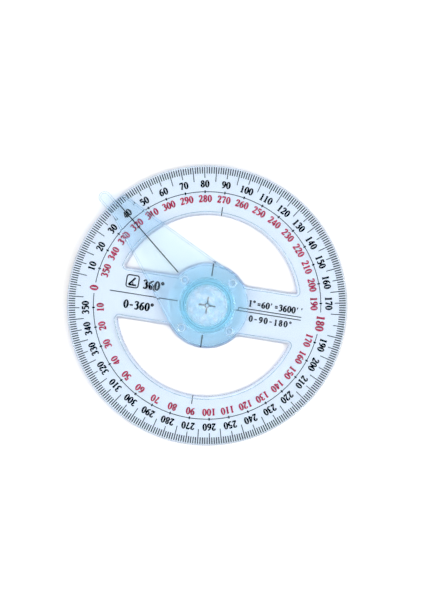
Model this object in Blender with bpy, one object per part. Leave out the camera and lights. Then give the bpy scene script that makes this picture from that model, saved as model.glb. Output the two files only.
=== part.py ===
"""A full-circle protractor, 100 mm across, with a swinging arm and a magnifier.

A clear disc carries the scales. It has two half-moon windows with a bar between
them. A bush is bonded into the middle of the disc, and its lip holds down an arm
that swings all the way round. Four hollow rivets fix the magnifier's housing to
the arm, and the lens sits in the housing over the centre of the disc.

The frame: the origin is the centre of the disc's underside and +Z is up. The
base line lies along X with its 0 end at -X, and the 90 degree mark is at +Y.
Readings grow clockwise as seen from above.
"""

from math import acos, atan2, cos, pi, radians, sin, sqrt, tan

import bmesh
import bpy

MM = 0.001  # lengths below are in millimetres
GAP = 0.3  # the clearance between neighbours

# Disc
DISC_R = 50.0
DISC_T = 1.8
RIM_BEVEL = 0.35
WINDOW_R = 32.45  # the round side of a window, at the underside
BAR_HALF = 9.15  # half the width of the bar between the windows
BOSS_R = 15.3  # the round middle of the bar
WINDOW_CORNER_R = 0.6
CHAMFER_WIDTH = 1.1  # the sloped top edge of the windows
CHAMFER_HEIGHT = 1.0
GROOVE_DEPTH = 1.0  # the annular groove that takes the bush

# Arm
ARM_T = 1.3
ARM_HUB_R = 14.7
ARM_TAPER = radians(13.0)  # between one edge of the blade and its pointer line
ARM_REACH = 49.3  # the shoulder's radius about the pivot
SHOULDER_R = 1.2
TAB_WIDTH = 4.4  # from the pointer line to the tab's outer edge
TAB_TIP = 55.2
EDGE_BEVEL_WIDTH = 0.75
EDGE_BEVEL_HEIGHT = 0.5
REST_READING = radians(40.0)

# Bush, housing and lens
BUSH_BORE_R = 7.2
BUSH_R = 8.4
LIP_R = 9.1
LIP_T = 0.6
FLANGE_R = 14.0
FLANGE_T = 1.3
RING_FOOT_R = 9.8
RING_TOP_R = 9.5
RING_TOP = 8.4
LEDGE_R = 6.6  # the ledge under the lens
LEDGE_T = 0.8
LENS_R = 7.1
LENS_EDGE = 1.2
LENS_RISE = 1.9  # the height of the dome above the lens's edge

# Rivets
RIVET_CIRCLE_R = 12.0
RIVET_COUNT = 4
RIVET_HEAD_R = 1.7
RIVET_HEAD_T = 0.5
RIVET_SHANK_R = 1.1
RIVET_BORE_R = 0.65
RIVET_BORE_DEPTH = 1.2
RIVET_HOLE_R = RIVET_SHANK_R + GAP

# Heights that follow
ARM_BOTTOM = DISC_T + GAP
ARM_TOP = ARM_BOTTOM + ARM_T
FLANGE_BOTTOM = ARM_TOP + GAP
FLANGE_TOP = FLANGE_BOTTOM + FLANGE_T
BUSH_BOTTOM = DISC_T - GROOVE_DEPTH + GAP
LIP_TOP = FLANGE_BOTTOM + LIP_T
LEDGE_BOTTOM = LIP_TOP + GAP
LEDGE_TOP = LEDGE_BOTTOM + LEDGE_T
LENS_BOTTOM = LEDGE_TOP + GAP
LENS_SEAT_R = LENS_R + GAP
RIVET_SEAT = FLANGE_TOP + GAP
BEYOND = 1.0  # how far a cutter goes past what it cuts

SMALL_SEGMENTS = 24
TURNED_SEGMENTS = 56
RIM_SEGMENTS = 144


def start_clean():
    for old in list(bpy.data.objects):
        bpy.data.objects.remove(old, do_unlink=True)


def plastic(name, colour, roughness):
    """A Principled material with a linear colour, for see-through plastic."""
    material = bpy.data.materials.new(name)
    material.use_nodes = True
    shader = material.node_tree.nodes["Principled BSDF"]
    shader.inputs["Base Color"].default_value = (*colour, 1.0)
    shader.inputs["Roughness"].default_value = roughness
    shader.inputs["Metallic"].default_value = 0.0
    material.diffuse_color = (*colour, 1.0)
    return material


def add_object(name, bm, material=None, parent=None):
    """Makes an object of a bmesh, smooth except at its sharp edges."""
    bmesh.ops.recalc_face_normals(bm, faces=bm.faces[:])
    mesh = bpy.data.meshes.new(name)
    bm.to_mesh(mesh)
    bm.free()
    mesh.shade_smooth()
    mesh.set_sharp_from_angle(angle=radians(25.0))
    made = bpy.data.objects.new(name, mesh)
    if material:
        mesh.materials.append(material)
    if parent:
        made.parent = parent
    bpy.context.collection.objects.link(made)
    return made


def arc(centre, radius, start, end, steps):
    """Points along an arc from angle start to angle end, both included."""
    x, y = centre
    angles = [start + (end - start) * i / steps for i in range(steps + 1)]
    return [(x + radius * cos(a), y + radius * sin(a)) for a in angles]


def circle(radius, segments, centre=(0.0, 0.0), phase=0.0):
    return arc(centre, radius, phase, phase + 2 * pi, segments)[:-1]


def stack(levels):
    """A closed body through outlines at rising heights, each with as many points."""
    bm = bmesh.new()
    loops = [[bm.verts.new((x * MM, y * MM, z * MM)) for x, y in points] for z, points in levels]
    for low, high in zip(loops, loops[1:]):
        count = len(low)
        for i in range(count):
            j = (i + 1) % count
            bm.faces.new((low[i], low[j], high[j], high[i]))
    bm.faces.new(reversed(loops[0]))
    bm.faces.new(loops[-1])
    return bm


def turn(profile, segments, centre=(0.0, 0.0)):
    """A closed body turned from a profile of (radius, height) points, given in order."""
    bm = bmesh.new()
    cx, cy = centre
    columns = []
    for radius, z in profile:
        if radius == 0:
            columns.append([bm.verts.new((cx * MM, cy * MM, z * MM))] * segments)
        else:
            ring = circle(radius, segments, centre)
            columns.append([bm.verts.new((x * MM, y * MM, z * MM)) for x, y in ring])
    for one, two in zip(columns, columns[1:] + columns[:1]):
        for i in range(segments):
            j = (i + 1) % segments
            corners = list(dict.fromkeys((one[i], one[j], two[j], two[i])))
            if len(corners) > 2:
                bm.faces.new(corners)
    return bm


def cut(target, bm, name):
    """Takes a cutter's shape out of the target."""
    cutter = add_object(name, bm, parent=target.parent)
    cutter.hide_render = True
    cutter.display_type = "WIRE"
    difference = target.modifiers.new(name, "BOOLEAN")
    difference.operation = "DIFFERENCE"
    difference.solver = "EXACT"
    difference.object = cutter


def window_outline(side, grow):
    """One half-moon window, grown outwards. side is +1 above the bar, -1 below it."""
    round_r = WINDOW_R + grow
    bar = BAR_HALF - grow
    boss_r = BOSS_R - grow
    corner_r = WINDOW_CORNER_R + grow
    corner_y = bar + corner_r
    corner_x = sqrt((round_r - corner_r) ** 2 - corner_y**2)
    corner_end = atan2(corner_y, corner_x)
    boss_start = atan2(bar, sqrt(boss_r**2 - bar**2))
    points = arc((corner_x, corner_y), corner_r, -pi / 2, corner_end, 6)
    points += arc((0, 0), round_r, corner_end, pi - corner_end, 54)[1:]
    points += arc((-corner_x, corner_y), corner_r, pi - corner_end, 3 * pi / 2, 6)[1:]
    points += arc((0, 0), boss_r, pi - boss_start, boss_start, 18)
    return [(side * x, side * y) for x, y in points]


def arm_outline(inset):
    """The arm seen from above with its pointer line along +X, moved in by inset."""
    hub_r = ARM_HUB_R - inset
    reach = ARM_REACH - inset
    shoulder_r = SHOULDER_R - inset
    tangent = pi / 2 - ARM_TAPER  # where the blade's edge leaves the hub
    swing = acos((hub_r - shoulder_r) / (reach - shoulder_r))
    shoulder_at = swing - tangent
    shoulder_middle = (
        (reach - shoulder_r) * cos(shoulder_at),
        (reach - shoulder_r) * sin(shoulder_at),
    )
    tab_r = TAB_WIDTH / 2 - inset
    tab_middle = (TAB_TIP - TAB_WIDTH / 2, TAB_WIDTH / 2)
    tab_outer = TAB_WIDTH - inset
    tab_foot = (hub_r / cos(ARM_TAPER) - tab_outer) / tan(ARM_TAPER)
    inner_corner = atan2(inset, sqrt(reach**2 - inset**2))
    points = arc((0, 0), hub_r, tangent, 2 * pi - tangent, 48)
    points += arc(shoulder_middle, shoulder_r, -tangent, shoulder_at, 6)
    points += arc((0, 0), reach, shoulder_at, inner_corner, 4)[1:]
    points += arc(tab_middle, tab_r, -pi / 2, pi / 2, 12)
    points.append((tab_foot, tab_outer))
    return points


def rivet_centres():
    angles = [2 * pi * i / RIVET_COUNT for i in range(RIVET_COUNT)]
    return [(RIVET_CIRCLE_R * cos(a), RIVET_CIRCLE_R * sin(a)) for a in angles]


def post(radius, bottom, top, centre=(0.0, 0.0), segments=SMALL_SEGMENTS):
    """An upright cylinder, turned half a step so that its corners miss its neighbours' edges."""
    outline = circle(radius, segments, centre, phase=pi / segments)
    return stack([(bottom, outline), (top, outline)])


def make_disc(material):
    wide = circle(DISC_R, RIM_SEGMENTS)
    narrow = circle(DISC_R - RIM_BEVEL, RIM_SEGMENTS)
    levels = [
        (0.0, narrow),
        (RIM_BEVEL, wide),
        (DISC_T - RIM_BEVEL, wide),
        (DISC_T, narrow),
    ]
    disc = add_object("scale_disc", stack(levels), material)
    slope = CHAMFER_WIDTH / CHAMFER_HEIGHT
    for side, name in ((1, "upper_window_cutter"), (-1, "lower_window_cutter")):
        straight = window_outline(side, 0.0)
        flared = window_outline(side, CHAMFER_WIDTH + slope * BEYOND)
        window = [
            (-BEYOND, straight),
            (DISC_T - CHAMFER_HEIGHT, straight),
            (DISC_T + BEYOND, flared),
        ]
        cut(disc, stack(window), name)
    inner = BUSH_BORE_R - GAP
    outer = BUSH_R + GAP
    floor = DISC_T - GROOVE_DEPTH
    groove = [
        (outer, floor),
        (outer, DISC_T + BEYOND),
        (inner, DISC_T + BEYOND),
        (inner, floor),
    ]
    cut(disc, turn(groove, TURNED_SEGMENTS), "groove_cutter")
    return disc


def make_bush(material):
    profile = [
        (BUSH_BORE_R, BUSH_BOTTOM),
        (BUSH_R, BUSH_BOTTOM),
        (BUSH_R, FLANGE_BOTTOM),
        (LIP_R, FLANGE_BOTTOM),
        (LIP_R, LIP_TOP),
        (BUSH_BORE_R, LIP_TOP),
    ]
    return add_object("pivot_bush", turn(profile, TURNED_SEGMENTS), material)


def make_arm(material, axis):
    underside_bevel = 0.15
    levels = [
        (ARM_BOTTOM, arm_outline(underside_bevel)),
        (ARM_BOTTOM + underside_bevel, arm_outline(0.0)),
        (ARM_TOP - EDGE_BEVEL_HEIGHT, arm_outline(0.0)),
        (ARM_TOP, arm_outline(EDGE_BEVEL_WIDTH)),
    ]
    arm = add_object("swing_arm", stack(levels), material, axis)
    bore = post(BUSH_R + GAP, ARM_BOTTOM - BEYOND, ARM_TOP + BEYOND, segments=TURNED_SEGMENTS)
    cut(arm, bore, "arm_bore_cutter")
    for number, centre in enumerate(rivet_centres(), 1):
        hole = post(RIVET_HOLE_R, ARM_BOTTOM - BEYOND, ARM_TOP + BEYOND, centre)
        cut(arm, hole, f"arm_hole_cutter_{number}")
    return arm


def make_housing(material, axis):
    edge = 0.4  # the rounded corners of the flange and the ring
    ring_top_edge = 0.6
    profile = [
        (LIP_R + GAP, FLANGE_BOTTOM),
        (FLANGE_R, FLANGE_BOTTOM),
        (FLANGE_R, FLANGE_TOP - edge),
        (FLANGE_R - edge, FLANGE_TOP),
        (RING_FOOT_R + edge, FLANGE_TOP),
        (RING_FOOT_R, FLANGE_TOP + edge),
        (RING_TOP_R, RING_TOP - ring_top_edge),
        (RING_TOP_R - ring_top_edge, RING_TOP),
        (LENS_SEAT_R + edge, RING_TOP),
        (LENS_SEAT_R, RING_TOP - edge),
        (LENS_SEAT_R, LEDGE_TOP),
        (LEDGE_R, LEDGE_TOP),
        (LEDGE_R, LEDGE_BOTTOM),
        (LIP_R + GAP, LEDGE_BOTTOM),
    ]
    housing = add_object("lens_housing", turn(profile, TURNED_SEGMENTS), material, axis)
    for number, centre in enumerate(rivet_centres(), 1):
        hole = post(RIVET_HOLE_R, FLANGE_BOTTOM - BEYOND, FLANGE_TOP + BEYOND, centre)
        cut(housing, hole, f"housing_hole_cutter_{number}")
    return housing


def make_lens(material, axis):
    """Flat below and domed above: the dome is part of a sphere."""
    rings = 7
    edge_top = LENS_BOTTOM + LENS_EDGE
    sphere_r = (LENS_R**2 + LENS_RISE**2) / (2 * LENS_RISE)
    sphere_z = edge_top + LENS_RISE - sphere_r
    half_angle = acos((edge_top - sphere_z) / sphere_r)
    leans = [half_angle * (1 - i / rings) for i in range(rings + 1)]
    dome = [(sphere_r * sin(a) if a else 0, sphere_z + sphere_r * cos(a)) for a in leans]
    profile = [(0, LENS_BOTTOM), (LENS_R, LENS_BOTTOM)] + dome
    return add_object("magnifier_lens", turn(profile, TURNED_SEGMENTS), material, axis)


def make_rivet(number, centre, material, axis):
    head_top = RIVET_SEAT + RIVET_HEAD_T
    head_edge = 0.2
    profile = [
        (0, ARM_BOTTOM + GAP),
        (RIVET_SHANK_R, ARM_BOTTOM + GAP),
        (RIVET_SHANK_R, RIVET_SEAT),
        (RIVET_HEAD_R, RIVET_SEAT),
        (RIVET_HEAD_R, head_top - head_edge),
        (RIVET_HEAD_R - head_edge, head_top),
        (RIVET_BORE_R, head_top),
        (RIVET_BORE_R, head_top - RIVET_BORE_DEPTH),
        (0, head_top - RIVET_BORE_DEPTH),
    ]
    bm = turn(profile, SMALL_SEGMENTS)
    rivet = add_object(f"hub_rivet_{number}", bm, material, axis)
    rivet.location = (centre[0] * MM, centre[1] * MM, 0.0)
    return rivet


def make_protractor():
    start_clean()
    clear = plastic("clear_disc_plastic", (0.74, 0.88, 0.97), 0.05)
    bush_clear = plastic("clear_bush_plastic", (0.70, 0.88, 0.97), 0.08)
    pale_blue = plastic("pale_blue_arm_plastic", (0.66, 0.86, 0.97), 0.05)
    blue = plastic("blue_housing_plastic", (0.24, 0.58, 0.90), 0.08)
    optical = plastic("clear_lens_plastic", (0.86, 0.94, 0.97), 0.02)
    rivet_blue = plastic("pale_blue_rivet_plastic", (0.50, 0.79, 0.97), 0.10)

    arm_axis = bpy.data.objects.new("arm_axis", None)
    arm_axis.rotation_euler.z = pi - REST_READING
    bpy.context.collection.objects.link(arm_axis)

    make_disc(clear)
    make_bush(bush_clear)
    make_arm(pale_blue, arm_axis)
    make_housing(blue, arm_axis)
    make_lens(optical, arm_axis)
    for number, centre in enumerate(rivet_centres(), 1):
        make_rivet(number, centre, rivet_blue, arm_axis)


make_protractor()
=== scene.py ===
# %% [markdown]
# # A clear protractor with a swinging arm
#
# The real object is a flat drawing aid moulded from see-through blue plastic.
# A disc carries printed degree scales. An arm with a pointer line swings over
# it, and a small magnifier sits over the centre. The fixed frame gives every
# size and place, so this script only makes fine surfaces, ink and materials.

import bmesh
import bpy
import numpy as np
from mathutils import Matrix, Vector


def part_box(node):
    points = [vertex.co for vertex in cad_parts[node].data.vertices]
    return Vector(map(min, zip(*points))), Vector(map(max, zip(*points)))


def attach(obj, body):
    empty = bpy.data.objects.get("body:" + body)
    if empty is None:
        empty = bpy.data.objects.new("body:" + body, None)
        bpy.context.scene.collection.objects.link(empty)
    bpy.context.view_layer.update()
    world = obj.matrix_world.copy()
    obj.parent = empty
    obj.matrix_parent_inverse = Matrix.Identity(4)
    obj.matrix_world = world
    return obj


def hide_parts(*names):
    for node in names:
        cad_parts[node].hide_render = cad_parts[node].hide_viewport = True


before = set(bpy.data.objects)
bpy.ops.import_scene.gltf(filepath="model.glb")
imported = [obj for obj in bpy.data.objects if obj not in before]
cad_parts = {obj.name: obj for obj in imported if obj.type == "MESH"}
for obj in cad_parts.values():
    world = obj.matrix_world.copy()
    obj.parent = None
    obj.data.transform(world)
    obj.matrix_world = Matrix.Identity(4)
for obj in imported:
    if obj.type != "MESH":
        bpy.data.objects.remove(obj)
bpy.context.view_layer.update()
MM = 0.001


# %% [markdown]
# ## Sizes
#
# Everything below is in millimetres, as on a mould drawing, and is turned to
# metres only when points go into a mesh. Radii and heights come from the
# frame's boxes. The shape of the windows and of the arm's blade needs a few
# more values, which are the ones that the mould maker would be given.


# %% Read radii and heights from the frame
def low_and_high(node):
    """A node's lowest and highest corners in millimetres."""
    low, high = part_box(node)
    return np.array(low) / MM, np.array(high) / MM


disc_high = low_and_high("scale_disc")[1]
arm_low, arm_high = low_and_high("swing_arm")
housing_low, housing_high = low_and_high("lens_housing")
lens_low, lens_high = low_and_high("magnifier_lens")
bush_low, bush_high = low_and_high("pivot_bush")
DISC_R, DISC_TOP = disc_high[0], disc_high[2]
ARM_BOTTOM, ARM_TOP = arm_low[2], arm_high[2]
FLANGE_R, FLANGE_BOTTOM, RING_TOP = housing_high[0], housing_low[2], housing_high[2]
LENS_R, LENS_BOTTOM, LENS_TOP = lens_high[0], lens_low[2], lens_high[2]
LIP_R, BUSH_BOTTOM, LIP_TOP = bush_high[0], bush_low[2], bush_high[2]
print(f"disc {2 * DISC_R:.1f} across, arm {ARM_BOTTOM:.1f} to {ARM_TOP:.1f} high")

# %% The rest of the shape
GAP = 0.3  # running clearance
BEYOND = 1.0  # how far a cutter goes past what it cuts
WINDOW_R, BAR_HALF, BOSS_R = 32.45, 9.15, 15.3
WINDOW_CORNER_R = 0.6
CHAMFER = 1.1
ARM_HUB_R, ARM_REACH, SHOULDER_R = 14.7, 49.3, 1.2
ARM_TAPER = np.radians(13.0)
TAB_WIDTH, TAB_TIP = 4.4, 55.2
ARM_BEVEL = 0.75
BUSH_BORE_R, BUSH_R = 7.2, 8.4
FLANGE_TOP = FLANGE_BOTTOM + 1.3
RING_FOOT_R, RING_TOP_R = 9.8, 9.5
LEDGE_R, LEDGE_BOTTOM, LEDGE_TOP = 6.6, LIP_TOP + GAP, LENS_BOTTOM - GAP
RIVET_CIRCLE_R, RIVET_HEAD_R, RIVET_SHANK_R, RIVET_BORE_R = 12.0, 1.7, 1.1, 0.65
REST = np.pi - np.radians(40.0)  # the arm points at 40 degrees on the scale
ROUND_STEPS = 256
print(f"windows {2 * WINDOW_R:.1f} across, bar {2 * BAR_HALF:.1f} wide, flange top {FLANGE_TOP:.1f}")


# %% [markdown]
# ## Mesh helpers
#
# Turned and moulded shapes are grids: one direction follows the outline or
# goes round the axis, the other climbs the profile. A grid is quick to work
# out as whole arrays, and its faces follow from the numbering alone.


# %% Faces of a grid
def grid_faces(rows, columns, close_rows=False):
    """Quads between neighbours of a grid numbered row by row; each row closes on itself."""
    row = np.arange(rows if close_rows else rows - 1)
    row, column = np.meshgrid(row, np.arange(columns), indexing="ij")
    below, beside = (row + 1) % rows, (column + 1) % columns
    corners = [
        row * columns + column,
        row * columns + beside,
        below * columns + beside,
        below * columns + column,
    ]
    return np.stack(corners, axis=-1).reshape(-1, 4)


# %% Put points and faces into a mesh
FLAT_ENOUGH = 0.999999  # how upright a face's normal is on a truly flat face
SHARP_ANGLE = np.radians(32.0)  # from here on an edge is drawn crisp


def make_mesh(name, points, faces):
    """A mesh of points in millimetres, outward facing: level faces flat, others smooth."""
    mesh = bpy.data.meshes.new(name)
    mesh.from_pydata((np.asarray(points) * MM).tolist(), [], [list(map(int, f)) for f in faces])
    shaded = bmesh.new()
    shaded.from_mesh(mesh)
    bmesh.ops.recalc_face_normals(shaded, faces=shaded.faces[:])
    shaded.to_mesh(mesh)
    shaded.free()
    shade(mesh)
    return mesh


def shade(mesh):
    """Smooth shading that leaves level faces and crisp corners alone.

    Marking the sharp edges makes every face smooth, so the level faces come
    after it. A level face that is shaded smooth would bend the view through it.
    """
    mesh.set_sharp_from_angle(angle=SHARP_ANGLE)
    normals = np.empty(len(mesh.polygons) * 3, np.float32)
    mesh.polygons.foreach_get("normal", normals)
    sloping = np.abs(normals.reshape(-1, 3)[:, 2]) < FLAT_ENOUGH
    mesh.polygons.foreach_set("use_smooth", sloping)
    mesh.update()


def turn_about_z(points, angle):
    """Points turned about the vertical axis by the usual rotation formula."""
    points = np.array(points, float)
    x, y = points[..., 0].copy(), points[..., 1].copy()
    points[..., 0] = x * np.cos(angle) - y * np.sin(angle)
    points[..., 1] = x * np.sin(angle) + y * np.cos(angle)
    return points


def wear_edges(mesh, bands):
    """Marks the faces whose middle lies in a band of heights, as a face attribute of 0 or 1."""
    # The plastic makes the marked faces rougher, as wear, and greyer, as painted shade.
    middles = np.empty(len(mesh.polygons) * 3, np.float32)
    mesh.polygons.foreach_get("center", middles)
    height = middles.reshape(-1, 3)[:, 2] / MM
    worn_and_shaded = np.any([(height > low) & (height < high) for low, high in bands], axis=0)
    mesh.attributes.new("worn_and_shaded", "FLOAT", "FACE").data.foreach_set("value", worn_and_shaded.astype(np.float32))
    print(f"{mesh.name}: {worn_and_shaded.sum()} faces rubbed")


# %% Add a finished piece to the object
def add_piece(name, mesh, material, body, stands_for=()):
    """One object at the origin that rides on a body and may stand for frame nodes."""
    piece = bpy.data.objects.new(name, mesh)
    bpy.context.collection.objects.link(piece)
    mesh.materials.clear()
    mesh.materials.append(material)
    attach(piece, body)
    if stands_for:
        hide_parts(*stands_for)
    print(f"{name}: {len(mesh.polygons)} faces on {body}")
    return piece


# %% [markdown]
# ## Node helper and colours
#
# Colours are chosen as they look on a screen, so they are written as hex and
# turned to the linear values that light adds up in. One helper adds any node.


# %% Colour and node helpers
def linear(hex_colour):
    """sRGB to linear: small values are divided, others raised to the power 2.4."""
    srgb = np.array([int(hex_colour[i : i + 2], 16) for i in (1, 3, 5)]) / 255
    return np.where(srgb <= 0.04045, srgb / 12.92, ((srgb + 0.055) / 1.055) ** 2.4)


def rgba(hex_colour):
    return (*linear(hex_colour), 1.0)


def add_node(tree, kind, settings=(), links=()):
    """Adds one node; settings name its properties or inputs, links feed its inputs."""
    node = tree.nodes.new(kind)
    for key, value in dict(settings).items():
        if key in node.inputs:
            node.inputs[key].default_value = value
        else:
            setattr(node, key, value)
    for key, source in dict(links).items():
        tree.links.new(source, node.inputs[key])
    return node


def new_material(name):
    material = bpy.data.materials.new(name)
    material.use_nodes = True
    material.node_tree.nodes.clear()
    return material, material.node_tree


# %% [markdown]
# ## Injection-moulded clear styrene
#
# Clear drawing aids are moulded in polystyrene or acrylic with a little blue
# dye. The dye colours the light by how far it goes through the plastic, so a
# thin plate looks pale, two plates look deeper, and the tall wall round the
# lens looks strongly blue. Volume absorption does that by itself, which a
# flat colour can't. The polished mould leaves a faint slow waviness from the
# flow of the plastic, and handling leaves fine scuffs that only show as a
# change of gloss. A thin strip along each edge is made dull, as wear leaves
# it, and is painted a greyer colour: painted shade that stands in for the
# dark lines that bent light draws along the edges of clear plastic.
#
# The strips of wear and painted shade are marked on the mesh by an attribute,
# and not by a second material: light that enters through one material with a
# volume and leaves through another would go on being absorbed outside.


# %% The clear plastic
FLOW_SIZE = 9.0  # mm between the soft swells left by moulding
SCUFF_SIZE = 1.2  # mm; real scuffs are finer, and this is as fine as shows
SCUFF_STRETCH = 5.0  # how many times longer than wide a scuff is
SCUFF_TURN = 0.6  # radians; hands wipe a drawing aid along a slant
SCUFF_NOISE = (0.45, 0.75)  # the noise at which a scuff starts and is full
CLOUD_NOISE = (0.40, 0.65)  # the noise at which a cloud starts and is full
RIPPLE_STRENGTH = 0.35
SMOOTHEST = 0.01  # the roughness that a polished mould leaves
WORN_ROUGHNESS = 0.25  # added where an edge is rubbed
PLASTIC_IOR = 1.49  # styrene and acrylic
TINT_DEPTH = 10.0  # mm of plastic that give white light the tint
HEADROOM = 1.25  # keeps every channel of the absorption's colour above 0
CLEAR = (1.0, 1.0, 1.0, 1.0)


def clear_plastic(name, tint, edge_shade=None, swell=FLOW_SIZE, ripple=0.012, dullest=0.06, frost=0.0):
    """Dyed clear plastic. The tint is the colour of white light after TINT_DEPTH.

    The argument after the tint is painted shade: the greyer colour that the
    edge strips let through, which stands in for the dark lines that bent light
    draws there. Swell and ripple are the width and height of its waves in
    millimetres, dullest is its roughness in a scuff and frost is how cloudy its
    swells are. The absorption is minus the logarithm of the tint over the depth,
    and the node wants it as a density times one minus a colour.
    """
    material, tree = new_material(name)
    place = add_node(tree, "ShaderNodeTexCoord").outputs["Object"]
    swells = add_node(
        tree,
        "ShaderNodeTexNoise",
        {"Scale": 1 / (swell * MM), "Detail": 1.5, "Roughness": 0.4},
        {"Vector": place},
    )
    stretched = add_node(
        tree,
        "ShaderNodeMapping",
        {"Rotation": (0.0, 0.0, SCUFF_TURN), "Scale": (1.0, SCUFF_STRETCH, 1.0)},
        {"Vector": place},
    )
    scuffs = add_node(
        tree,
        "ShaderNodeTexNoise",
        {"Scale": 1 / (SCUFF_SIZE * SCUFF_STRETCH * MM), "Detail": 5.0, "Roughness": 0.65},
        {"Vector": stretched.outputs["Vector"]},
    )
    start, full = SCUFF_NOISE
    roughness = add_node(
        tree,
        "ShaderNodeMapRange",
        {"From Min": start, "From Max": full, "To Min": SMOOTHEST, "To Max": dullest},
        {"Value": scuffs.outputs["Fac"]},
    ).outputs["Result"]
    bump = add_node(
        tree,
        "ShaderNodeBump",
        {"Strength": RIPPLE_STRENGTH, "Distance": ripple * MM},
        {"Height": swells.outputs["Fac"]},
    )
    surface = add_node(
        tree,
        "ShaderNodeBsdfPrincipled",
        {"Base Color": CLEAR, "IOR": PLASTIC_IOR, "Transmission Weight": 1.0},
        {"Roughness": roughness, "Normal": bump.outputs["Normal"]},
    )
    if edge_shade:
        # An edge strip is painted a greyer colour, painted shade for the dark edge lines, and is
        # made rougher, as wear leaves it, so it spreads the light.
        worn_and_shaded = add_node(tree, "ShaderNodeAttribute", {"attribute_name": "worn_and_shaded"}).outputs["Fac"]
        painted_edge_shade = add_node(tree, "ShaderNodeMix", {"data_type": "RGBA"}, {"Factor": worn_and_shaded})
        painted_edge_shade.inputs[6].default_value, painted_edge_shade.inputs[7].default_value = CLEAR, rgba(edge_shade)
        dulled = add_node(
            tree, "ShaderNodeMath", {"operation": "MULTIPLY_ADD"}, {0: worn_and_shaded, 2: roughness}
        )
        dulled.inputs[1].default_value = WORN_ROUGHNESS
        tree.links.new(painted_edge_shade.outputs[2], surface.inputs["Base Color"])
        tree.links.new(dulled.outputs["Value"], surface.inputs["Roughness"])
    if frost:
        # A cloud scatters some of the light instead of letting it straight through.
        start, full = CLOUD_NOISE
        cloud = add_node(
            tree,
            "ShaderNodeMapRange",
            {"From Min": start, "From Max": full, "To Min": 1.0, "To Max": 1.0 - frost},
            {"Value": swells.outputs["Fac"]},
        )
        tree.links.new(cloud.outputs["Result"], surface.inputs["Transmission Weight"])
    absorbed = -np.log(np.clip(linear(tint), 0.001, 0.999)) / (TINT_DEPTH * MM)
    density = float(absorbed.max()) * HEADROOM
    volume = add_node(
        tree,
        "ShaderNodeVolumeAbsorption",
        {"Color": (*(1 - absorbed / density), 1.0), "Density": density},
    )
    add_node(
        tree,
        "ShaderNodeOutputMaterial",
        {},
        {"Surface": surface.outputs["BSDF"], "Volume": volume.outputs["Volume"]},
    )
    return material


# %% One plastic for each piece
# The disc and the arm are thin and pale. Their second colour is painted shade for the strips along
# their edges, which are also dulled as by use.
disc_plastic = clear_plastic("moulded_clear_styrene_disc", "#9CBBE6", edge_shade="#A0B2BE")
arm_plastic = clear_plastic("moulded_pale_blue_styrene_arm", "#92CBF4", edge_shade="#C0D0DA")
# The bush, the housing and the studs add their blue to the layers under them.
bush_plastic = clear_plastic("moulded_clear_styrene_bush", "#CCF2FF")
housing_plastic = clear_plastic("moulded_blue_styrene_housing", "#B3F4FF")
rivet_plastic = clear_plastic("moulded_pale_blue_styrene_studs", "#C4ECFF")
# The small lens shows close ripples and a whitish cloud from cooling and cleaning.
lens_plastic = clear_plastic(
    "polished_clear_acrylic_lens", "#B4E2FA", swell=1.8, ripple=0.1, dullest=0.08, frost=0.2
)
print("clear plastics:", disc_plastic.name, arm_plastic.name, lens_plastic.name)


# %% [markdown]
# ## Screen-printed ink
#
# The scales are printed on the disc's underside, where the fingers and the arm
# can't rub them. Printing through a mesh leaves the ink slightly uneven in
# density and a touch rough. It is bonded to the plastic with no air between
# them, so it has hardly any gloss of its own, and the black looks truly black.


# %% The ink
MESH_PITCH = 0.35  # mm; a real screen is finer, and this is as fine as shows
INK_GLOSS = 0.08  # far below the 0.5 of a surface in air


def printed_ink(name, deep, thin):
    """Opaque ink between two close tones, mottled at the pitch of the screen.

    The mottle gives the eye the slightly starved look of print, and its faint
    relief breaks up what little gloss there is.
    """
    material, tree = new_material(name)
    place = add_node(tree, "ShaderNodeTexCoord").outputs["Object"]
    mottle = add_node(
        tree,
        "ShaderNodeTexNoise",
        {"Scale": 1 / (MESH_PITCH * MM), "Detail": 3.0},
        {"Vector": place},
    )
    tone = add_node(tree, "ShaderNodeMix", {"data_type": "RGBA"}, {"Factor": mottle.outputs["Fac"]})
    tone.inputs[6].default_value, tone.inputs[7].default_value = rgba(deep), rgba(thin)
    bump = add_node(
        tree,
        "ShaderNodeBump",
        {"Strength": 0.2, "Distance": 0.01 * MM},
        {"Height": mottle.outputs["Fac"]},
    )
    surface = add_node(
        tree,
        "ShaderNodeBsdfPrincipled",
        {"Roughness": 0.5, "IOR": 1.48, "Specular IOR Level": INK_GLOSS},
        {"Base Color": tone.outputs[2], "Normal": bump.outputs["Normal"]},
    )
    add_node(tree, "ShaderNodeOutputMaterial", {}, {"Surface": surface.outputs["BSDF"]})
    return material


black_ink = printed_ink("screen_printed_black_ink", "#05080B", "#0E1318")
red_ink = printed_ink("screen_printed_red_ink", "#F0405A", "#F6566E")
print("inks:", black_ink.name, red_ink.name)


# %% [markdown]
# ## The disc
#
# The plate is one outline lifted through a few heights, so that the rim is
# softly rounded. The windows are cut from it by two stacks whose walls stand
# straight and then lean back, which leaves the sloped edge round each window.


# %% Outlines and stacks
def arc_points(centre, radius, start, end, count):
    """Points on an arc: the centre plus the radius along evenly spaced angles."""
    angle = np.linspace(start, end, count)
    return np.stack([centre[0] + radius * np.cos(angle), centre[1] + radius * np.sin(angle)], -1)


def ring_points(radius, count, centre=(0.0, 0.0)):
    return arc_points(centre, radius, 0.0, 2 * np.pi, count + 1)[:-1]


def stacked_mesh(name, outlines, heights):
    """Outlines of equal length at rising heights, joined by walls and closed by two faces."""
    outlines = np.array(outlines)
    levels, count = outlines.shape[:2]
    lifted = np.broadcast_to(np.array(heights)[:, None, None], (levels, count, 1))
    points = np.concatenate([outlines, lifted], axis=2).reshape(-1, 3)
    faces = list(grid_faces(levels, count))
    faces += [np.arange(count), np.arange(count) + (levels - 1) * count]
    return make_mesh(name, points, faces)


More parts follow.
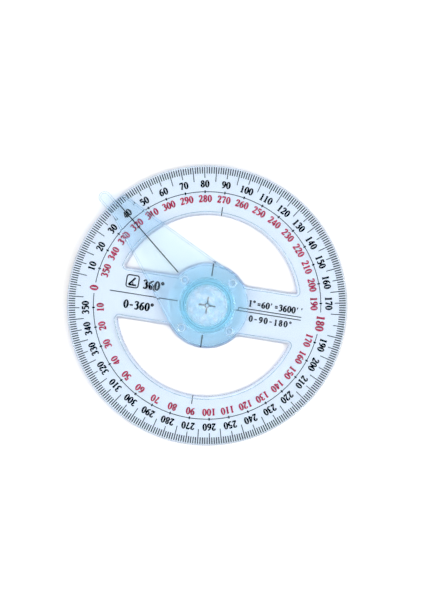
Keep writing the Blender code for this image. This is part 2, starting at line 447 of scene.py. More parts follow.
def cut_out(mesh, cutters):
    """The mesh with the cutter meshes taken out by exact Boolean modifiers."""
    body = bpy.data.objects.new("body_to_cut", mesh)
    bpy.context.collection.objects.link(body)
    tools = []
    for cutter in cutters:
        tool = bpy.data.objects.new("cutter", cutter)
        bpy.context.collection.objects.link(tool)
        tools.append(tool)
        step = body.modifiers.new("cut", "BOOLEAN")
        step.operation, step.solver, step.object = "DIFFERENCE", "EXACT", tool
    evaluated = body.evaluated_get(bpy.context.evaluated_depsgraph_get())
    result = bpy.data.meshes.new_from_object(evaluated)
    for used in [body, *tools]:
        bpy.data.objects.remove(used)
    shade(result)
    return result


# %% The window's outline
def window_outline(side, grow):
    """A half-moon moved outwards by grow: an arc, a straight edge, and the boss's arc."""
    round_r, bar, boss_r = WINDOW_R + grow, BAR_HALF - grow, BOSS_R - grow
    corner_r = WINDOW_CORNER_R + grow
    corner = np.array([np.sqrt((round_r - corner_r) ** 2 - (bar + corner_r) ** 2), bar + corner_r])
    corner_end = np.arctan2(corner[1], corner[0])
    boss_start = np.arcsin(bar / boss_r)
    outline = [
        arc_points(corner, corner_r, -np.pi / 2, corner_end, 9),
        arc_points((0, 0), round_r, corner_end, np.pi - corner_end, 160)[1:],
        arc_points(corner * (-1, 1), corner_r, np.pi - corner_end, 3 * np.pi / 2, 9)[1:],
        arc_points((0, 0), boss_r, np.pi - boss_start, boss_start, 60),
    ]
    return side * np.concatenate(outline)


# %% Make the disc
# The strip along each edge that is worn dull and painted greyer as painted shade.
WORN_SHADED_STRIP = 0.3  # mm; real edges are rubbed over less, and this is as fine as shows
EDGE_R = 0.16  # the rounding of the rim
EDGE_DROP = 0.12  # how far a rubbed edge has sunk
rise = np.linspace(0, np.pi / 2, 5)
rim_radii = DISC_R - EDGE_R * (1 - np.cos(np.concatenate([rise[::-1], rise])))
rim_drop = EDGE_R * (1 - np.sin(rise))
rim_heights = np.concatenate([rim_drop[::-1], DISC_TOP - rim_drop])
plate = stacked_mesh("scale_disc_plate", [ring_points(r, 480) for r in rim_radii], rim_heights)

# The window's wall is upright, then slopes out, and ends in the strip of wear and painted shade.
SLOPE_DEPTH = 1.0  # where the slope starts, below the top
grows = [0.0, 0.0, CHAMFER - WORN_SHADED_STRIP / 2, CHAMFER + WORN_SHADED_STRIP / 2, CHAMFER + 1.2]
slope = DISC_TOP + np.array([-SLOPE_DEPTH, -EDGE_DROP, 0.0, BEYOND])
windows = [
    stacked_mesh("window_cutter", [window_outline(side, g) for g in grows], (-BEYOND, *slope))
    for side in (1, -1)
]
print(f"rim of {len(rim_radii)} levels, {len(windows)} window cutters of {len(grows)} levels")


# %% [markdown]
# ## Turned pieces
#
# The bush, the housing, the lens and the studs are all round. Each is a
# profile of radius and height carried round the axis. Sharp corners of the
# profile are eased first, because no moulded edge is truly sharp, and an eased
# edge is what catches the light.


# %% Profiles and turning
def eased(profile, size, steps=5):
    """Each corner becomes a quadratic curve between points at most size away on both sides.

    The size is one number, or one for each corner.
    The curve is (1-t)(1-t) A + 2t(1-t) C + tt B, from A through corner C to B.
    """
    corner = np.array(profile, float)
    before, after = np.roll(corner, 1, axis=0) - corner, np.roll(corner, -1, axis=0) - corner
    reach_before = np.linalg.norm(before, axis=1, keepdims=True)
    reach_after = np.linalg.norm(after, axis=1, keepdims=True)
    cut = np.minimum(np.reshape(size, (-1, 1)), 0.45 * np.minimum(reach_before, reach_after))
    start, end = corner + before / reach_before * cut, corner + after / reach_after * cut
    t = np.linspace(0, 1, steps)[None, :, None]
    curve = (1 - t) ** 2 * start[:, None] + 2 * t * (1 - t) * corner[:, None] + t**2 * end[:, None]
    return curve.reshape(-1, 2)


def turned_ring(name, profile, count=ROUND_STEPS, centre=(0.0, 0.0)):
    """A closed profile carried round: x and y are the radius times cosine and sine."""
    radius, height = np.array(profile).T
    angle = np.arange(count) * 2 * np.pi / count
    x = centre[0] + radius[:, None] * np.cos(angle)
    y = centre[1] + radius[:, None] * np.sin(angle)
    z = np.broadcast_to(height[:, None], x.shape)
    points = np.stack([x, y, z], -1).reshape(-1, 3)
    return make_mesh(name, points, grid_faces(len(radius), count, close_rows=True))


def turned_solid(name, profile, count=ROUND_STEPS, centre=(0.0, 0.0)):
    """A profile from the axis to the axis carried round, with one point at each pole."""
    radius, height = np.array(profile[1:-1]).T
    rows = len(radius)
    angle = np.arange(count) * 2 * np.pi / count
    x = centre[0] + radius[:, None] * np.cos(angle)
    y = centre[1] + radius[:, None] * np.sin(angle)
    z = np.broadcast_to(height[:, None], x.shape)
    body = np.stack([x, y, z], -1).reshape(-1, 3)
    poles = [(*centre, profile[0][1]), (*centre, profile[-1][1])]
    first, last = rows * count, rows * count + 1
    here, there = np.arange(count), (np.arange(count) + 1) % count
    top = (rows - 1) * count
    fans = [(first, b, a) for a, b in zip(here, there)]
    fans += [(last, top + a, top + b) for a, b in zip(here, there)]
    return make_mesh(name, np.concatenate([body, poles]), list(grid_faces(rows, count)) + fans)


# %% Groove the disc and finish it
groove_inner, groove_outer = BUSH_BORE_R - GAP, BUSH_R + GAP
groove_floor = BUSH_BOTTOM - GAP
groove = turned_ring(
    "groove_cutter",
    [
        (groove_outer, groove_floor),
        (groove_outer, DISC_TOP + BEYOND),
        (groove_inner, DISC_TOP + BEYOND),
        (groove_inner, groove_floor),
    ],
)
disc_mesh = cut_out(plate, [*windows, groove])
# The faces of the strip of wear and painted shade reach from EDGE_DROP to the top, so their middles
# lie half way.
wear_edges(disc_mesh, [(DISC_TOP - 0.08, DISC_TOP - 0.04)])
add_piece("protractor_disc", disc_mesh, disc_plastic, "disc", ["scale_disc"])

# %% The bush
bush_profile = [
    (BUSH_BORE_R, BUSH_BOTTOM),
    (BUSH_R, BUSH_BOTTOM),
    (BUSH_R, FLANGE_BOTTOM),
    (LIP_R, FLANGE_BOTTOM),
    (LIP_R, LIP_TOP),
    (BUSH_BORE_R, LIP_TOP),
]
bush_mesh = turned_ring("pivot_bush_turned", eased(bush_profile, 0.15))
add_piece("bonded_bush", bush_mesh, bush_plastic, "disc", ["pivot_bush"])


# %% [markdown]
# ## The arm
#
# The blade's two edges touch the round hub and lean towards each other. On one
# side the end turns at a shoulder that follows the disc's rim, and on the
# other a finger tab runs on past the rim. The same outline, moved in step by
# step, makes the sloped edge.


# %% The arm's outline
def arm_outline(inset):
    """The arm along +X moved in by inset: hub arc, edge, shoulder, tab and edge."""
    hub_r, reach, shoulder_r = ARM_HUB_R - inset, ARM_REACH - inset, SHOULDER_R - inset
    tangent = np.pi / 2 - ARM_TAPER
    turn = np.arccos((hub_r - shoulder_r) / (reach - shoulder_r)) - tangent
    middle = (reach - shoulder_r) * np.array([np.cos(turn), np.sin(turn)])
    tab_r = TAB_WIDTH / 2 - inset
    tab_middle = (TAB_TIP - TAB_WIDTH / 2, TAB_WIDTH / 2)
    tab_outer = TAB_WIDTH - inset
    tab_foot = (hub_r / np.cos(ARM_TAPER) - tab_outer) / np.tan(ARM_TAPER)
    outline = [
        arc_points((0, 0), hub_r, tangent, 2 * np.pi - tangent, 160),
        arc_points(middle, shoulder_r, -tangent, turn, 12),
        arc_points((0, 0), reach, turn, np.arcsin(inset / reach), 8)[1:],
        arc_points(tab_middle, tab_r, -np.pi / 2, np.pi / 2, 28),
        [(tab_foot, tab_outer)],
    ]
    return np.concatenate(outline)


def rivet_centres():
    angle = REST + np.arange(4) * np.pi / 2
    return RIVET_CIRCLE_R * np.stack([np.cos(angle), np.sin(angle)], -1)


def post(radius, bottom, top, centre=(0.0, 0.0), count=64):
    outline = ring_points(radius, count, centre)
    return stacked_mesh("post", [outline, outline], (bottom, top))


# %% Make the arm
# Each level of the blade: how far it is moved in, and its height above the arm's bottom.
arm_levels = [
    (0.10, 0.00),  # an eased foot
    (0.03, 0.03),
    (0.00, 0.10),  # an upright wall
    (0.00, 0.74),
    # The faces that rise to this level, and those above the bevel, are worn dull and painted greyer
    # as painted shade for the bevel's edge lines.
    (0.22, 0.86),  # the rubbed foot of the bevel
    (ARM_BEVEL - 0.05, 1.20),  # the bevel
    (ARM_BEVEL + 0.17, ARM_TOP - ARM_BOTTOM),  # its rubbed upper edge
]
arm_insets, arm_heights = np.array(arm_levels).T
blade_outlines = [turn_about_z(arm_outline(inset), REST) for inset in arm_insets]
blade = stacked_mesh("arm_blade", blade_outlines, ARM_BOTTOM + arm_heights)
through_arm = (ARM_BOTTOM - BEYOND, ARM_TOP + BEYOND)
arm_holes = [post(BUSH_R + GAP, *through_arm, count=ROUND_STEPS)]
arm_holes += [post(RIVET_SHANK_R + GAP, *through_arm, centre) for centre in rivet_centres()]
arm_mesh = cut_out(blade, arm_holes)
# The middles of the faces between the levels 0.74 and 0.86, and between 1.20 and the top, which are
# worn dull and painted greyer as painted shade.
wear_edges(arm_mesh, ARM_BOTTOM + np.array([(0.78, 0.82), (1.22, 1.28)]))
add_piece("pointer_arm", arm_mesh, arm_plastic, "arm", ["swing_arm"])

# %% [markdown]
# ## The magnifier
#
# A blue housing with a wide flange stands on the arm's hub. Its tall wall
# hides the bush's lip and holds the lens, which is flat below and part of a
# sphere above. Four hollow studs pin the flange to the arm.

# %% The housing
housing_profile = [
    (LIP_R + GAP, FLANGE_BOTTOM),
    (FLANGE_R, FLANGE_BOTTOM),
    (FLANGE_R, FLANGE_TOP),
    (RING_FOOT_R, FLANGE_TOP),
    (RING_TOP_R, RING_TOP),
    (LENS_R + GAP, RING_TOP),
    (LENS_R + GAP, LEDGE_TOP),
    (LEDGE_R, LEDGE_TOP),
    (LEDGE_R, LEDGE_BOTTOM),
    (LIP_R + GAP, LEDGE_BOTTOM),
]
# The foot of the ring and its upper edges are the roundest corners.
housing_easing = [0.1, 0.12, 0.15, 0.45, 0.5, 0.35, 0.1, 0.1, 0.1, 0.1]
housing_ring = turned_ring("lens_housing_turned", eased(housing_profile, housing_easing))
through_flange = (FLANGE_BOTTOM - BEYOND, FLANGE_TOP + BEYOND)
housing_holes = [post(RIVET_SHANK_R + GAP, *through_flange, centre) for centre in rivet_centres()]
housing_mesh = cut_out(housing_ring, housing_holes)
add_piece("lens_ring", housing_mesh, housing_plastic, "arm", ["lens_housing"])

# %% The lens
LENS_EDGE_TOP = LENS_BOTTOM + 1.2  # the lens has an upright edge this high
LENS_EASE = 0.12  # the bevel of its lower edge
rise_of_dome = LENS_TOP - LENS_EDGE_TOP
sphere_r = (LENS_R**2 + rise_of_dome**2) / (2 * rise_of_dome)
lean = np.linspace(np.arcsin(LENS_R / sphere_r), 0, 48)
dome = np.stack([sphere_r * np.sin(lean), LENS_TOP - sphere_r * (1 - np.cos(lean))], -1)
lens_profile = [
    (0, LENS_BOTTOM),
    (LENS_R - LENS_EASE, LENS_BOTTOM),
    (LENS_R, LENS_BOTTOM + LENS_EASE),
    (LENS_R, LENS_EDGE_TOP - 0.1),
    *dome[:-1],
    (0, LENS_TOP),
]
lens_mesh = turned_solid("magnifier_lens_turned", lens_profile)
add_piece("dome_lens", lens_mesh, lens_plastic, "arm", ["magnifier_lens"])

# %% The studs
stud_low, stud_high = low_and_high("hub_rivet_1")
STUD_BOTTOM, STUD_TOP = stud_low[2], stud_high[2]
STUD_SEAT, STUD_FLOOR = STUD_TOP - 0.5, STUD_TOP - 1.2
STUD_EASE = 0.15
stud_profile = [
    (0, STUD_BOTTOM),
    (RIVET_SHANK_R - STUD_EASE, STUD_BOTTOM),
    (RIVET_SHANK_R, STUD_BOTTOM + STUD_EASE),
    (RIVET_SHANK_R, STUD_SEAT),
    (RIVET_HEAD_R, STUD_SEAT),
    (RIVET_HEAD_R, STUD_TOP - 0.3),
    (RIVET_HEAD_R - 0.1, STUD_TOP - 0.1),
    (RIVET_HEAD_R - 0.3, STUD_TOP),
    (RIVET_BORE_R + STUD_EASE, STUD_TOP),
    (RIVET_BORE_R, STUD_TOP - STUD_EASE),
    (RIVET_BORE_R, STUD_FLOOR),
    (0, STUD_FLOOR),
]
for number, centre in enumerate(rivet_centres(), 1):
    stud_mesh = turned_solid(f"stud_turned_{number}", stud_profile, 64, tuple(centre))
    name, node = f"hub_stud_{number}", f"hub_rivet_{number}"
    add_piece(name, stud_mesh, rivet_plastic, "arm", [node])


# %% [markdown]
# ## Printing: strokes and bars
#
# All printing is a thin film of ink on an underside. It is sunk a little into
# the plastic, so that no gap of air lies between the two to shine. Lines are
# flat bars. Curved lines and figures are strokes: a path with half a width at
# each point, like the mark of a broad pen.


# %% Films of ink
INK_T = 0.03  # mm, the film's thickness; real ink is about 0.01, and this keeps it whole
INK_SINK = 0.01  # mm that it reaches into the plastic
FILM_TOP = INK_SINK  # the disc's underside is at height 0


def film_tube(left, right, top, closed=False):
    """A flat tube between two edges: each row holds the film's four corners."""
    rows = len(left)
    corners = np.zeros((rows, 4, 3))
    corners[:, 0, :2], corners[:, 1, :2] = left, right
    corners[:, 2, :2], corners[:, 3, :2] = right, left
    corners[:, :2, 2], corners[:, 2:, 2] = top, top - INK_T
    faces = grid_faces(rows, 4, close_rows=closed)
    if not closed:
        faces = np.concatenate([faces, [[0, 1, 2, 3]], [np.arange(4) + (rows - 1) * 4]])
    return corners.reshape(-1, 3), faces


def stroke(path, top=FILM_TOP, closed=False):
    """A pen stroke: each point's edges lie half a width away, square to the path."""
    xy, half = path[:, :2], path[:, 2:3]
    if closed:
        along = np.roll(xy, -1, axis=0) - np.roll(xy, 1, axis=0)
    else:
        along = np.gradient(xy, axis=0)
    along /= np.linalg.norm(along, axis=1, keepdims=True)
    across = np.stack([-along[:, 1], along[:, 0]], -1) * half
    return film_tube(xy + across, xy - across, top, closed)


def joined(parts):
    """Several (points, faces) pairs as one, with each part's faces renumbered."""
    sizes = np.cumsum([0] + [len(points) for points, _ in parts])
    points = np.concatenate([points for points, _ in parts])
    return points, np.concatenate([faces + size for (_, faces), size in zip(parts, sizes)])


def bars(starts, ends, width, top=FILM_TOP):
    """Straight bars, all at once: each is a box along the line from start to end."""
    starts, ends = np.atleast_2d(starts).astype(float), np.atleast_2d(ends).astype(float)
    along = (ends - starts) / np.linalg.norm(ends - starts, axis=1, keepdims=True)
    across = np.stack([-along[:, 1], along[:, 0]], -1) * width / 2
    corners = np.zeros((len(starts), 2, 4, 3))
    for row, at in enumerate((starts, ends)):
        corners[:, row, [0, 3], :2] = (at + across)[:, None]
        corners[:, row, [1, 2], :2] = (at - across)[:, None]
    corners[:, :, :2, 2], corners[:, :, 2:, 2] = top, top - INK_T
    one = np.concatenate([grid_faces(2, 4), [[0, 1, 2, 3]], [[4, 5, 6, 7]]])
    faces = one[None] + 8 * np.arange(len(starts))[:, None, None]
    return corners.reshape(-1, 3), faces.reshape(-1, 4)


def print_piece(name, parts, ink, body="disc"):
    points, faces = joined(parts)
    return add_piece(name, make_mesh(name, points, faces), ink, body)


# %% [markdown]
# ## Figures
#
# The numbers are in a bold letter with thick uprights, thin turns and small
# feet. Each figure is drawn in a box 0.6 wide and 1 high, as a few strokes
# given by the points that the pen passes and half its width there. A smooth
# spline through the points does the rest. A nine is a six turned half round.


# %% Draw with a spline
def spline(control, steps=7):
    """A Catmull-Rom spline: a cubic between neighbours whose slope at each is the
    half difference of the points on both sides of it."""
    given = np.array(control, float)
    padded = np.vstack([2 * given[0] - given[1], given, 2 * given[-1] - given[-2]])
    a, b, c, d = (padded[i : len(padded) - 3 + i, None] for i in range(4))
    t = np.linspace(0, 1, steps, endpoint=False)[None, :, None]
    curve = b + 0.5 * t * (c - a + t * (2 * a - 5 * b + 4 * c - d + t * (3 * (b - c) + d - a)))
    return np.vstack([curve.reshape(-1, 3), given[-1]])


def loop(x, y, across, up, side, end, count=32):
    """An oval stroke, thick at its sides and thin at its ends."""
    angle = np.arange(count) * 2 * np.pi / count
    half = end + (side - end) * np.cos(angle) ** 2
    return np.stack([x + across * np.cos(angle), y + up * np.sin(angle), half], -1)


# %% The figures' strokes
FIGURE_W = 0.6
BOWL = [(0.10, 0.56, 0.02), (0.26, 0.62, 0.05), (0.46, 0.50, 0.085), (0.49, 0.27, 0.09)]
BOWL += [(0.38, 0.07, 0.05), (0.22, 0.03, 0.03), (0.09, 0.10, 0.055)]
SIX = [(0.52, 0.96, 0.02), (0.33, 0.88, 0.045), (0.17, 0.68, 0.075), (0.11, 0.36, 0.09)]
SIX += [(0.17, 0.10, 0.06), (0.30, 0.035, 0.03), (0.44, 0.12, 0.07), (0.485, 0.31, 0.085)]
SIX += [(0.43, 0.50, 0.06), (0.31, 0.56, 0.03), (0.19, 0.49, 0.03)]
NINE = [(FIGURE_W - x, 1 - y, half) for x, y, half in SIX]
TWO = [(0.09, 0.72, 0.05), (0.15, 0.89, 0.055), (0.29, 0.965, 0.03), (0.45, 0.87, 0.075)]
TWO += [(0.46, 0.68, 0.085), (0.36, 0.43, 0.055), (0.20, 0.22, 0.03), (0.07, 0.09, 0.02)]
THREE_TOP = [(0.09, 0.79, 0.045), (0.17, 0.93, 0.045), (0.30, 0.965, 0.03)]
THREE_TOP += [(0.43, 0.87, 0.075), (0.43, 0.69, 0.07), (0.24, 0.54, 0.02)]
THREE_FOOT = [(0.24, 0.55, 0.02), (0.44, 0.46, 0.07), (0.48, 0.27, 0.09)]
THREE_FOOT += [(0.38, 0.07, 0.05), (0.22, 0.03, 0.03), (0.08, 0.11, 0.055)]
OPEN_STROKES = {
    "1": [
        [(0.14, 0.82, 0.02), (0.30, 0.93, 0.045)],
        [(0.31, 0.98, 0.08), (0.31, 0.03, 0.08)],
        [(0.13, 0.025, 0.025), (0.49, 0.025, 0.025)],
    ],
    "2": [
        TWO,
        [(0.05, 0.075, 0.075), (0.48, 0.075, 0.075)],
        [(0.50, 0.0, 0.03), (0.55, 0.25, 0.015)],
    ],
    "3": [THREE_TOP, THREE_FOOT],
    "4": [
        [(0.39, 0.97, 0.03), (0.05, 0.29, 0.025)],
        [(0.03, 0.27, 0.05), (0.58, 0.27, 0.05)],
        [(0.40, 0.98, 0.08), (0.40, 0.0, 0.08)],
    ],
    "5": [
        BOWL,
        [(0.12, 0.98, 0.025), (0.11, 0.55, 0.025)],
        [(0.12, 0.915, 0.075), (0.52, 0.915, 0.075)],
    ],
    "6": [SIX],
    "7": [
        [(0.06, 0.915, 0.075), (0.55, 0.915, 0.075)],
        [(0.53, 0.90, 0.03), (0.38, 0.50, 0.055), (0.26, 0.0, 0.085)],
        [(0.07, 0.92, 0.02), (0.04, 0.75, 0.015)],
    ],
    "9": [NINE],
    "=": [[(0.08, 0.62, 0.04), (0.52, 0.62, 0.04)], [(0.08, 0.38, 0.04), (0.52, 0.38, 0.04)]],
    "'": [[(0.22, 0.98, 0.05), (0.16, 0.70, 0.02)]],
    "-": [[(0.10, 0.45, 0.04), (0.50, 0.45, 0.04)]],
}
CLOSED_STROKES = {
    "0": [loop(0.30, 0.50, 0.205, 0.465, 0.09, 0.03)],
    "8": [
        loop(0.30, 0.745, 0.155, 0.22, 0.075, 0.03),
        loop(0.30, 0.265, 0.185, 0.235, 0.085, 0.03),
    ],
    "°": [loop(0.22, 0.84, 0.12, 0.12, 0.035, 0.035, 20)],
}
ADVANCE = 0.66  # the step from one figure to the next, over the height
WEIGHT = 0.045  # what the ink spreads on both sides of a stroke, over the height
STROKE_STEP = 0.0015  # mm that each stroke of a figure lies below the last
print("figures:", " ".join([*OPEN_STROKES, *CLOSED_STROKES]))


# %% Set a line of figures
def figure(character):
    """The strokes of one figure as films in a box of height 1."""
    spread = np.array([0.0, 0.0, WEIGHT])
    open_strokes = [spline(s, 1 if len(s) == 2 else 7) for s in OPEN_STROKES.get(character, [])]
    films = [stroke(path + spread, 0.0) for path in open_strokes]
    closed_strokes = CLOSED_STROKES.get(character, [])
    films += [stroke(path + spread, 0.0, closed=True) for path in closed_strokes]
    return films


def set_line(text, height, advance=ADVANCE):
    """A line of figures centred on the origin, reading along +X, at its real height."""
    films = []
    start = -advance * len(text) / 2 + (advance - FIGURE_W) / 2
    for place, character in enumerate(text):
        for layer, (points, faces) in enumerate(figure(character)):
            placed = points.copy()
            placed[:, 0] = (points[:, 0] + start + place * advance) * height
            placed[:, 1] = (points[:, 1] - 0.5) * height
            placed[:, 2] = points[:, 2] + FILM_TOP - layer * STROKE_STEP
            films.append((placed, faces))
    return joined(films)


def reading_angle(reading):
    """Readings start at -X and grow clockwise, so the angle is half a turn less the reading."""
    return np.pi - np.radians(reading)


def place_number(number, reading, radius, height):
    """A number whose top points away from the centre: its line is turned and moved out."""
    points, faces = set_line(str(number), height)
    points[:, 1] += radius
    return turn_about_z(points, reading_angle(reading) - np.pi / 2), faces


def polar(radius, readings):
    angle = reading_angle(np.asarray(readings, float))
    return np.stack([radius * np.cos(angle), radius * np.sin(angle)], -1)


# %% [markdown]
# ## The scales
#
# One tick for each degree, with longer ticks at the fives and tens, black
# numbers that count clockwise, a thin circle with a dot at each ten, and red
# numbers that count the other way.

# %% The degree ticks
TICK_IN, TICK_OUT = 47.3, 49.65
FIVE_IN, TEN_IN, TAIL_OUT = 44.4, 45.75, 47.5  # a tail runs a little into its tick
TICK_W, TAIL_W = 0.35, 0.27  # mm; real ones are finer, and this is as fine as shows
TAIL_TOP = FILM_TOP - STROKE_STEP
degrees = np.arange(360)
long = degrees[degrees % 5 == 0]
tail_in = np.where(long % 10 == 0, TEN_IN, FIVE_IN)
ticks = bars(polar(TICK_IN, degrees), polar(TICK_OUT, degrees), TICK_W)
tails = bars(polar(1.0, long) * tail_in[:, None], polar(TAIL_OUT, long), TAIL_W, TAIL_TOP)
print_piece("degree_ticks", [ticks, tails], black_ink)

# %% The numbers
BLACK_R, RED_R, NUMBER_H = 43.6, 38.3, 2.45
END_R, END_H = 41.0, 2.9  # the large 0 and 180, which both scales share
tens = [t for t in range(0, 360, 10) if t not in (0, 180)]
black_numbers = [place_number(t, t, BLACK_R, NUMBER_H) for t in tens]
print_piece("outer_numbers", black_numbers, black_ink)
red_numbers = [place_number(360 - t, t, RED_R, NUMBER_H) for t in tens]
red_numbers += [place_number(t, t, END_R, END_H) for t in (0, 180)]
print_piece("inner_numbers", red_numbers, red_ink)


# %% The circle and its dots
def arc_stroke(radius, first, last, width, steps=240):
    """A line of even width along an arc between two readings."""
    path = polar(radius, np.linspace(first, last, steps))
    return stroke(np.column_stack([path, np.full(steps, width / 2)]))


CIRCLE_R, CIRCLE_W = 40.75, 0.25
DOT_R, DOT_W = 0.48, 0.46
circle_spans = [(2.7, 174.5), (185.5, 357.3)]  # readings; they leave room for the 0 and 180
circle_parts = [arc_stroke(CIRCLE_R, first, last, CIRCLE_W) for first, last in circle_spans]
dots_in, dots_out = polar(CIRCLE_R - DOT_R, tens), polar(CIRCLE_R + DOT_R, tens)
dot_bars = bars(dots_in, dots_out, DOT_W, FILM_TOP - STROKE_STEP)
print_piece("inner_circle", circle_parts + [dot_bars], black_ink)

# %% [markdown]
# ## Lines on the bar and the centre
#
# The base line runs along the bar on both sides of the magnifier. On the 180
# side a second line lies close above it. Short ticks mark 90 and 270 at the
# window's edge and on the boss, and a fine cross with a small ring marks the
# very centre, under the lens.

# %% Lines and the cross
LINE_W = 0.3
LINE_END, TWIN_START, TWIN_STEP = 34.0, 11.2, 1.04  # the twin line lies one step above
line_starts = [(-35.3, 0), (10.2, 0), (TWIN_START, TWIN_STEP)]
line_ends = [(-10.7, 0), (LINE_END, 0), (LINE_END, TWIN_STEP)]
base_lines = [bars(line_starts, line_ends, LINE_W)]
twin_end = [(TWIN_START, 0), (TWIN_START, TWIN_STEP)]
base_lines.append(bars(*twin_end, LINE_W, FILM_TOP - STROKE_STEP))
QUARTER_TICKS = [(35.7, 32.6, LINE_W), (14.9, 10.6, 0.45)]  # outer end, inner end, width
for outer, inner, width in QUARTER_TICKS:
    base_lines += [bars((0, side * outer), (0, side * inner), width) for side in (1, -1)]
print_piece("base_lines", base_lines, black_ink)

CROSS_ARM, CROSS_GAP, CROSS_W = 2.3, 0.75, 0.38
CROSS_RING_R, CROSS_RING_W = 0.55, 0.28
ways = np.array([(1, 0), (0, 1), (-1, 0), (0, -1)], float)
cross = bars(ways * CROSS_GAP, ways * CROSS_ARM, CROSS_W)
ring_path = loop(0, 0, CROSS_RING_R, CROSS_RING_R, CROSS_RING_W / 2, CROSS_RING_W / 2)
cross_ring = stroke(ring_path, closed=True)
print_piece("centre_cross", [cross, cross_ring], black_ink)

# %% The pointer line on the arm's underside
POINTER_IN, POINTER_OUT, POINTER_W = 15.6, 48.7, 0.36
pointer_top = ARM_BOTTOM + INK_SINK
points, faces = bars((POINTER_IN, 0), (POINTER_OUT, 0), POINTER_W, pointer_top)
pointer = (turn_about_z(points, REST), faces)
print_piece("pointer_line", [pointer], black_ink, body="arm")

# %% [markdown]
# ## Small generic marks
#
# Makers print a few small marks on the bar. Here they are plain facts about
# angles: an angle sign in a rounded frame, a full turn, and how degrees divide.


# %% The marks
def moved(part, x, y):
    points, faces = part
    return points + (x, y, 0), faces


SIGN_FRAME_W, SIGN_SIDE_W, SIGN_BOW_W = 0.4, 0.62, 0.34
SIGN_BOW_R, SIGN_OPENING = 1.6, np.radians(50)


def angle_sign(size):
    """A rounded square from the superellipse x to the 6th plus y to the 6th, with an angle."""
    turn = np.arange(64) * 2 * np.pi / 64
    c, s = np.cos(turn), np.sin(turn)
    edge = size / 2 / (np.abs(c) ** 6 + np.abs(s) ** 6) ** (1 / 6)
    frame_path = np.column_stack([edge * c, edge * s, np.full(64, SIGN_FRAME_W / 2)])
    foot = -0.3 * size
    side_ends = [(0.32 * size, foot), (0.2 * size, 0.3 * size)]
    sides = bars([(foot, foot)] * 2, side_ends, SIGN_SIDE_W)
    bow = np.linspace(0, SIGN_OPENING, 12)
    bow_x, bow_y = foot + SIGN_BOW_R * np.cos(bow), foot + SIGN_BOW_R * np.sin(bow)
    bow_path = np.column_stack([bow_x, bow_y, np.full(12, SIGN_BOW_W / 2)])
    return [stroke(frame_path, closed=True), sides, stroke(bow_path, FILM_TOP - STROKE_STEP)]


# Each line: what it says, its height and the step between figures, and its middle.
MARKS = [
    ("360°", 3.2, ADVANCE, -19.8, 4.1),
    ("0-360°", 2.9, ADVANCE, -24.0, -3.9),
    ("1°=60'=3600''", 2.3, 0.68, 24.6, 3.2),
    ("0-90-180°", 2.2, 0.82, 23.4, -2.2),
]
marks = [moved(part, -27.7, 4.4) for part in angle_sign(4.4)]
marks += [moved(set_line(text, tall, step), x, y) for text, tall, step, x, y in MARKS]
print_piece("bar_marks", marks, black_ink)

# %% [markdown]
# ## Table, light and camera
#
# The protractor lies on a matt white board under a wide sky of light, as in a
# product studio. The sky dims slowly from the horizon upwards, is brightest in
# a ring high up, and is about half as bright right overhead, where a camera
# would stand. These steps draw the edges of clear plastic, and two strip
# lights shine on the ring and the lens.

# %% The white board
FLOOR_Z = -0.06  # mm, just below the ink
FLOOR_HALF = 2000.0  # mm from its middle to its edges
GRAIN_SIZE = 1.1  # mm; real board is finer, and this is as fine as shows
board, tree = new_material("matt_white_board")
place = add_node(tree, "ShaderNodeTexCoord").outputs["Object"]
grain = add_node(
    tree,
    "ShaderNodeTexNoise",
    {"Scale": 1 / (GRAIN_SIZE * MM), "Detail": 3.0},
    {"Vector": place},
)
tint = add_node(tree, "ShaderNodeMix", {"data_type": "RGBA"}, {"Factor": grain.outputs["Fac"]})
tint.inputs[6].default_value, tint.inputs[7].default_value = rgba("#FAFAF8"), rgba("#FCFCFA")
paper = add_node(
    tree,
    "ShaderNodeBsdfPrincipled",
    {"Roughness": 0.85, "Specular IOR Level": 0.1},
    {"Base Color": tint.outputs[2]},
)
add_node(tree, "ShaderNodeOutputMaterial", {}, {"Surface": paper.outputs["BSDF"]})
floor_corners = FLOOR_HALF * np.array([(-1, -1), (1, -1), (1, 1), (-1, 1)])
floor_points = np.column_stack([floor_corners, np.full(4, FLOOR_Z)]) * MM
floor_mesh = bpy.data.meshes.new("table_board")
floor_mesh.from_pydata(floor_points.tolist(), [], [(0, 1, 2, 3)])
floor_mesh.materials.append(board)
floor = bpy.data.objects.new("table_board", floor_mesh)
bpy.context.collection.objects.link(floor)
print(f"board {2 * FLOOR_HALF:.0f} mm wide at height {FLOOR_Z} mm")

# %% The sky's bands
scene = bpy.context.scene
world = bpy.data.worlds.new("studio_sky")
scene.world = world
world.use_nodes = True
tree = world.node_tree
tree.nodes.clear()
way = add_node(tree, "ShaderNodeTexCoord").outputs["Generated"]
height = add_node(tree, "ShaderNodeSeparateXYZ", {}, {"Vector": way}).outputs["Z"]
# Heights are those of a direction one unit long: 0 on the horizon and 1 overhead.
# Each band goes from its first strength at its low height to its last at its high one.
SKY_BANDS = [
    (0.0, 0.45, 1.15, 0.75),  # the whole sky, a little brighter low down
    (0.80, 0.87, 0.0, 1.1),  # the bright ring, from its lower edge up
    (0.972, 0.985, 0.0, -0.85),  # the dimmer middle of the ring
]
bands = []
for low, high, first, last in SKY_BANDS:
    settings = {"From Min": low, "From Max": high, "To Min": first, "To Max": last}
    band = add_node(tree, "ShaderNodeMapRange", settings, {"Value": height})
    bands.append(band.outputs["Result"])
print(f"sky of {len(bands)} bands")

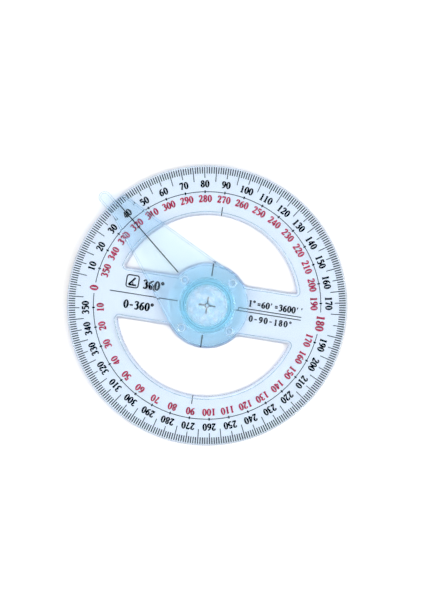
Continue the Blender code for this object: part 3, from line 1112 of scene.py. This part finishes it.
# %% The strip lights
# Compass angle, how square a direction must be to it, low and high edges, strength.
STRIP_LIGHTS = [(-6.0, 0.66, 0.49, 0.58, 20.0), (229.0, 0.78, 0.49, 0.58, 15.0)]
SIDE_FADE, EDGE_FADE = 0.04, 0.03  # how softly its sides and its edges begin
for compass, side, low, high, strength in STRIP_LIGHTS:
    heading = np.radians(compass)
    toward = add_node(tree, "ShaderNodeVectorMath", {"operation": "DOT_PRODUCT"}, {0: way})
    toward.inputs[1].default_value = (np.cos(heading), np.sin(heading), 0.0)
    limits = [
        (toward.outputs["Value"], side, side + SIDE_FADE, strength),
        (height, low, low + EDGE_FADE, 1.0),
        (height, high, high - EDGE_FADE, 1.0),
    ]
    light = None
    for value, start, end, full in limits:
        settings = {"From Min": start, "From Max": end, "To Min": 0.0, "To Max": full}
        part = add_node(tree, "ShaderNodeMapRange", settings, {"Value": value}).outputs["Result"]
        if light:
            both = {0: light, 1: part}
            part = add_node(tree, "ShaderNodeMath", {"operation": "MULTIPLY"}, both).outputs[0]
        light = part
    bands.append(light)
print(f"{len(STRIP_LIGHTS)} strip lights")

# %% Add the bands and the lights up
sky = bands[0]
for band in bands[1:]:
    sky = add_node(tree, "ShaderNodeMath", {"operation": "ADD"}, {0: sky, 1: band}).outputs[0]
background = add_node(tree, "ShaderNodeBackground", {"Color": CLEAR}, {"Strength": sky})
add_node(tree, "ShaderNodeOutputWorld", {}, {"Surface": background.outputs["Background"]})

# %% How the picture is developed
EXPOSURE = -0.1  # keeps the white board just below full white
BLACK_LEVEL = 0.035  # takes away the veil of grey that reflections lay over the print
scene.view_settings.view_transform = "Standard"
scene.view_settings.exposure = EXPOSURE
scene.view_settings.use_curve_mapping = True
scene.view_settings.curve_mapping.black_level = (BLACK_LEVEL,) * 3
print(f"exposure {EXPOSURE}, black level {BLACK_LEVEL}")

# %% Let light pass through many walls of plastic
# Reflections inside the plastic count as glossy ones, so they need many bounces too.
BOUNCES = 32
scene.cycles.max_bounces = BOUNCES
scene.cycles.transmission_bounces = BOUNCES
scene.cycles.transparent_max_bounces = BOUNCES
scene.cycles.glossy_bounces = BOUNCES
# The gloss filter would dull each clear wall a little, and stacked walls a lot.
scene.cycles.blur_glossy = 0.0
print(f"{BOUNCES} bounces")

# %% The camera
VIEW_HEIGHT = 214.3  # mm of table from the top to the bottom of the view
CAMERA_UP = 400.0  # mm above the disc's top
SENSOR = 36.0
CAMERA_TURN = np.radians(9.0)  # the disc lies turned by this in the view
AIM = turn_about_z(np.array([1.75, 1.96, 0.0]), CAMERA_TURN)  # the middle of the view
camera_data = bpy.data.cameras.new("camera")
camera_data.sensor_width = SENSOR
camera_data.lens = SENSOR * CAMERA_UP / VIEW_HEIGHT
camera_data.clip_start, camera_data.clip_end = 0.01, 10.0
camera = bpy.data.objects.new("camera", camera_data)
camera.location = (AIM[0] * MM, AIM[1] * MM, (CAMERA_UP + DISC_TOP) * MM)
camera.rotation_euler = (0.0, 0.0, CAMERA_TURN)
bpy.context.collection.objects.link(camera)
scene.camera = camera
print(f"camera {CAMERA_UP:.0f} mm up with a lens of {camera_data.lens:.1f} mm")
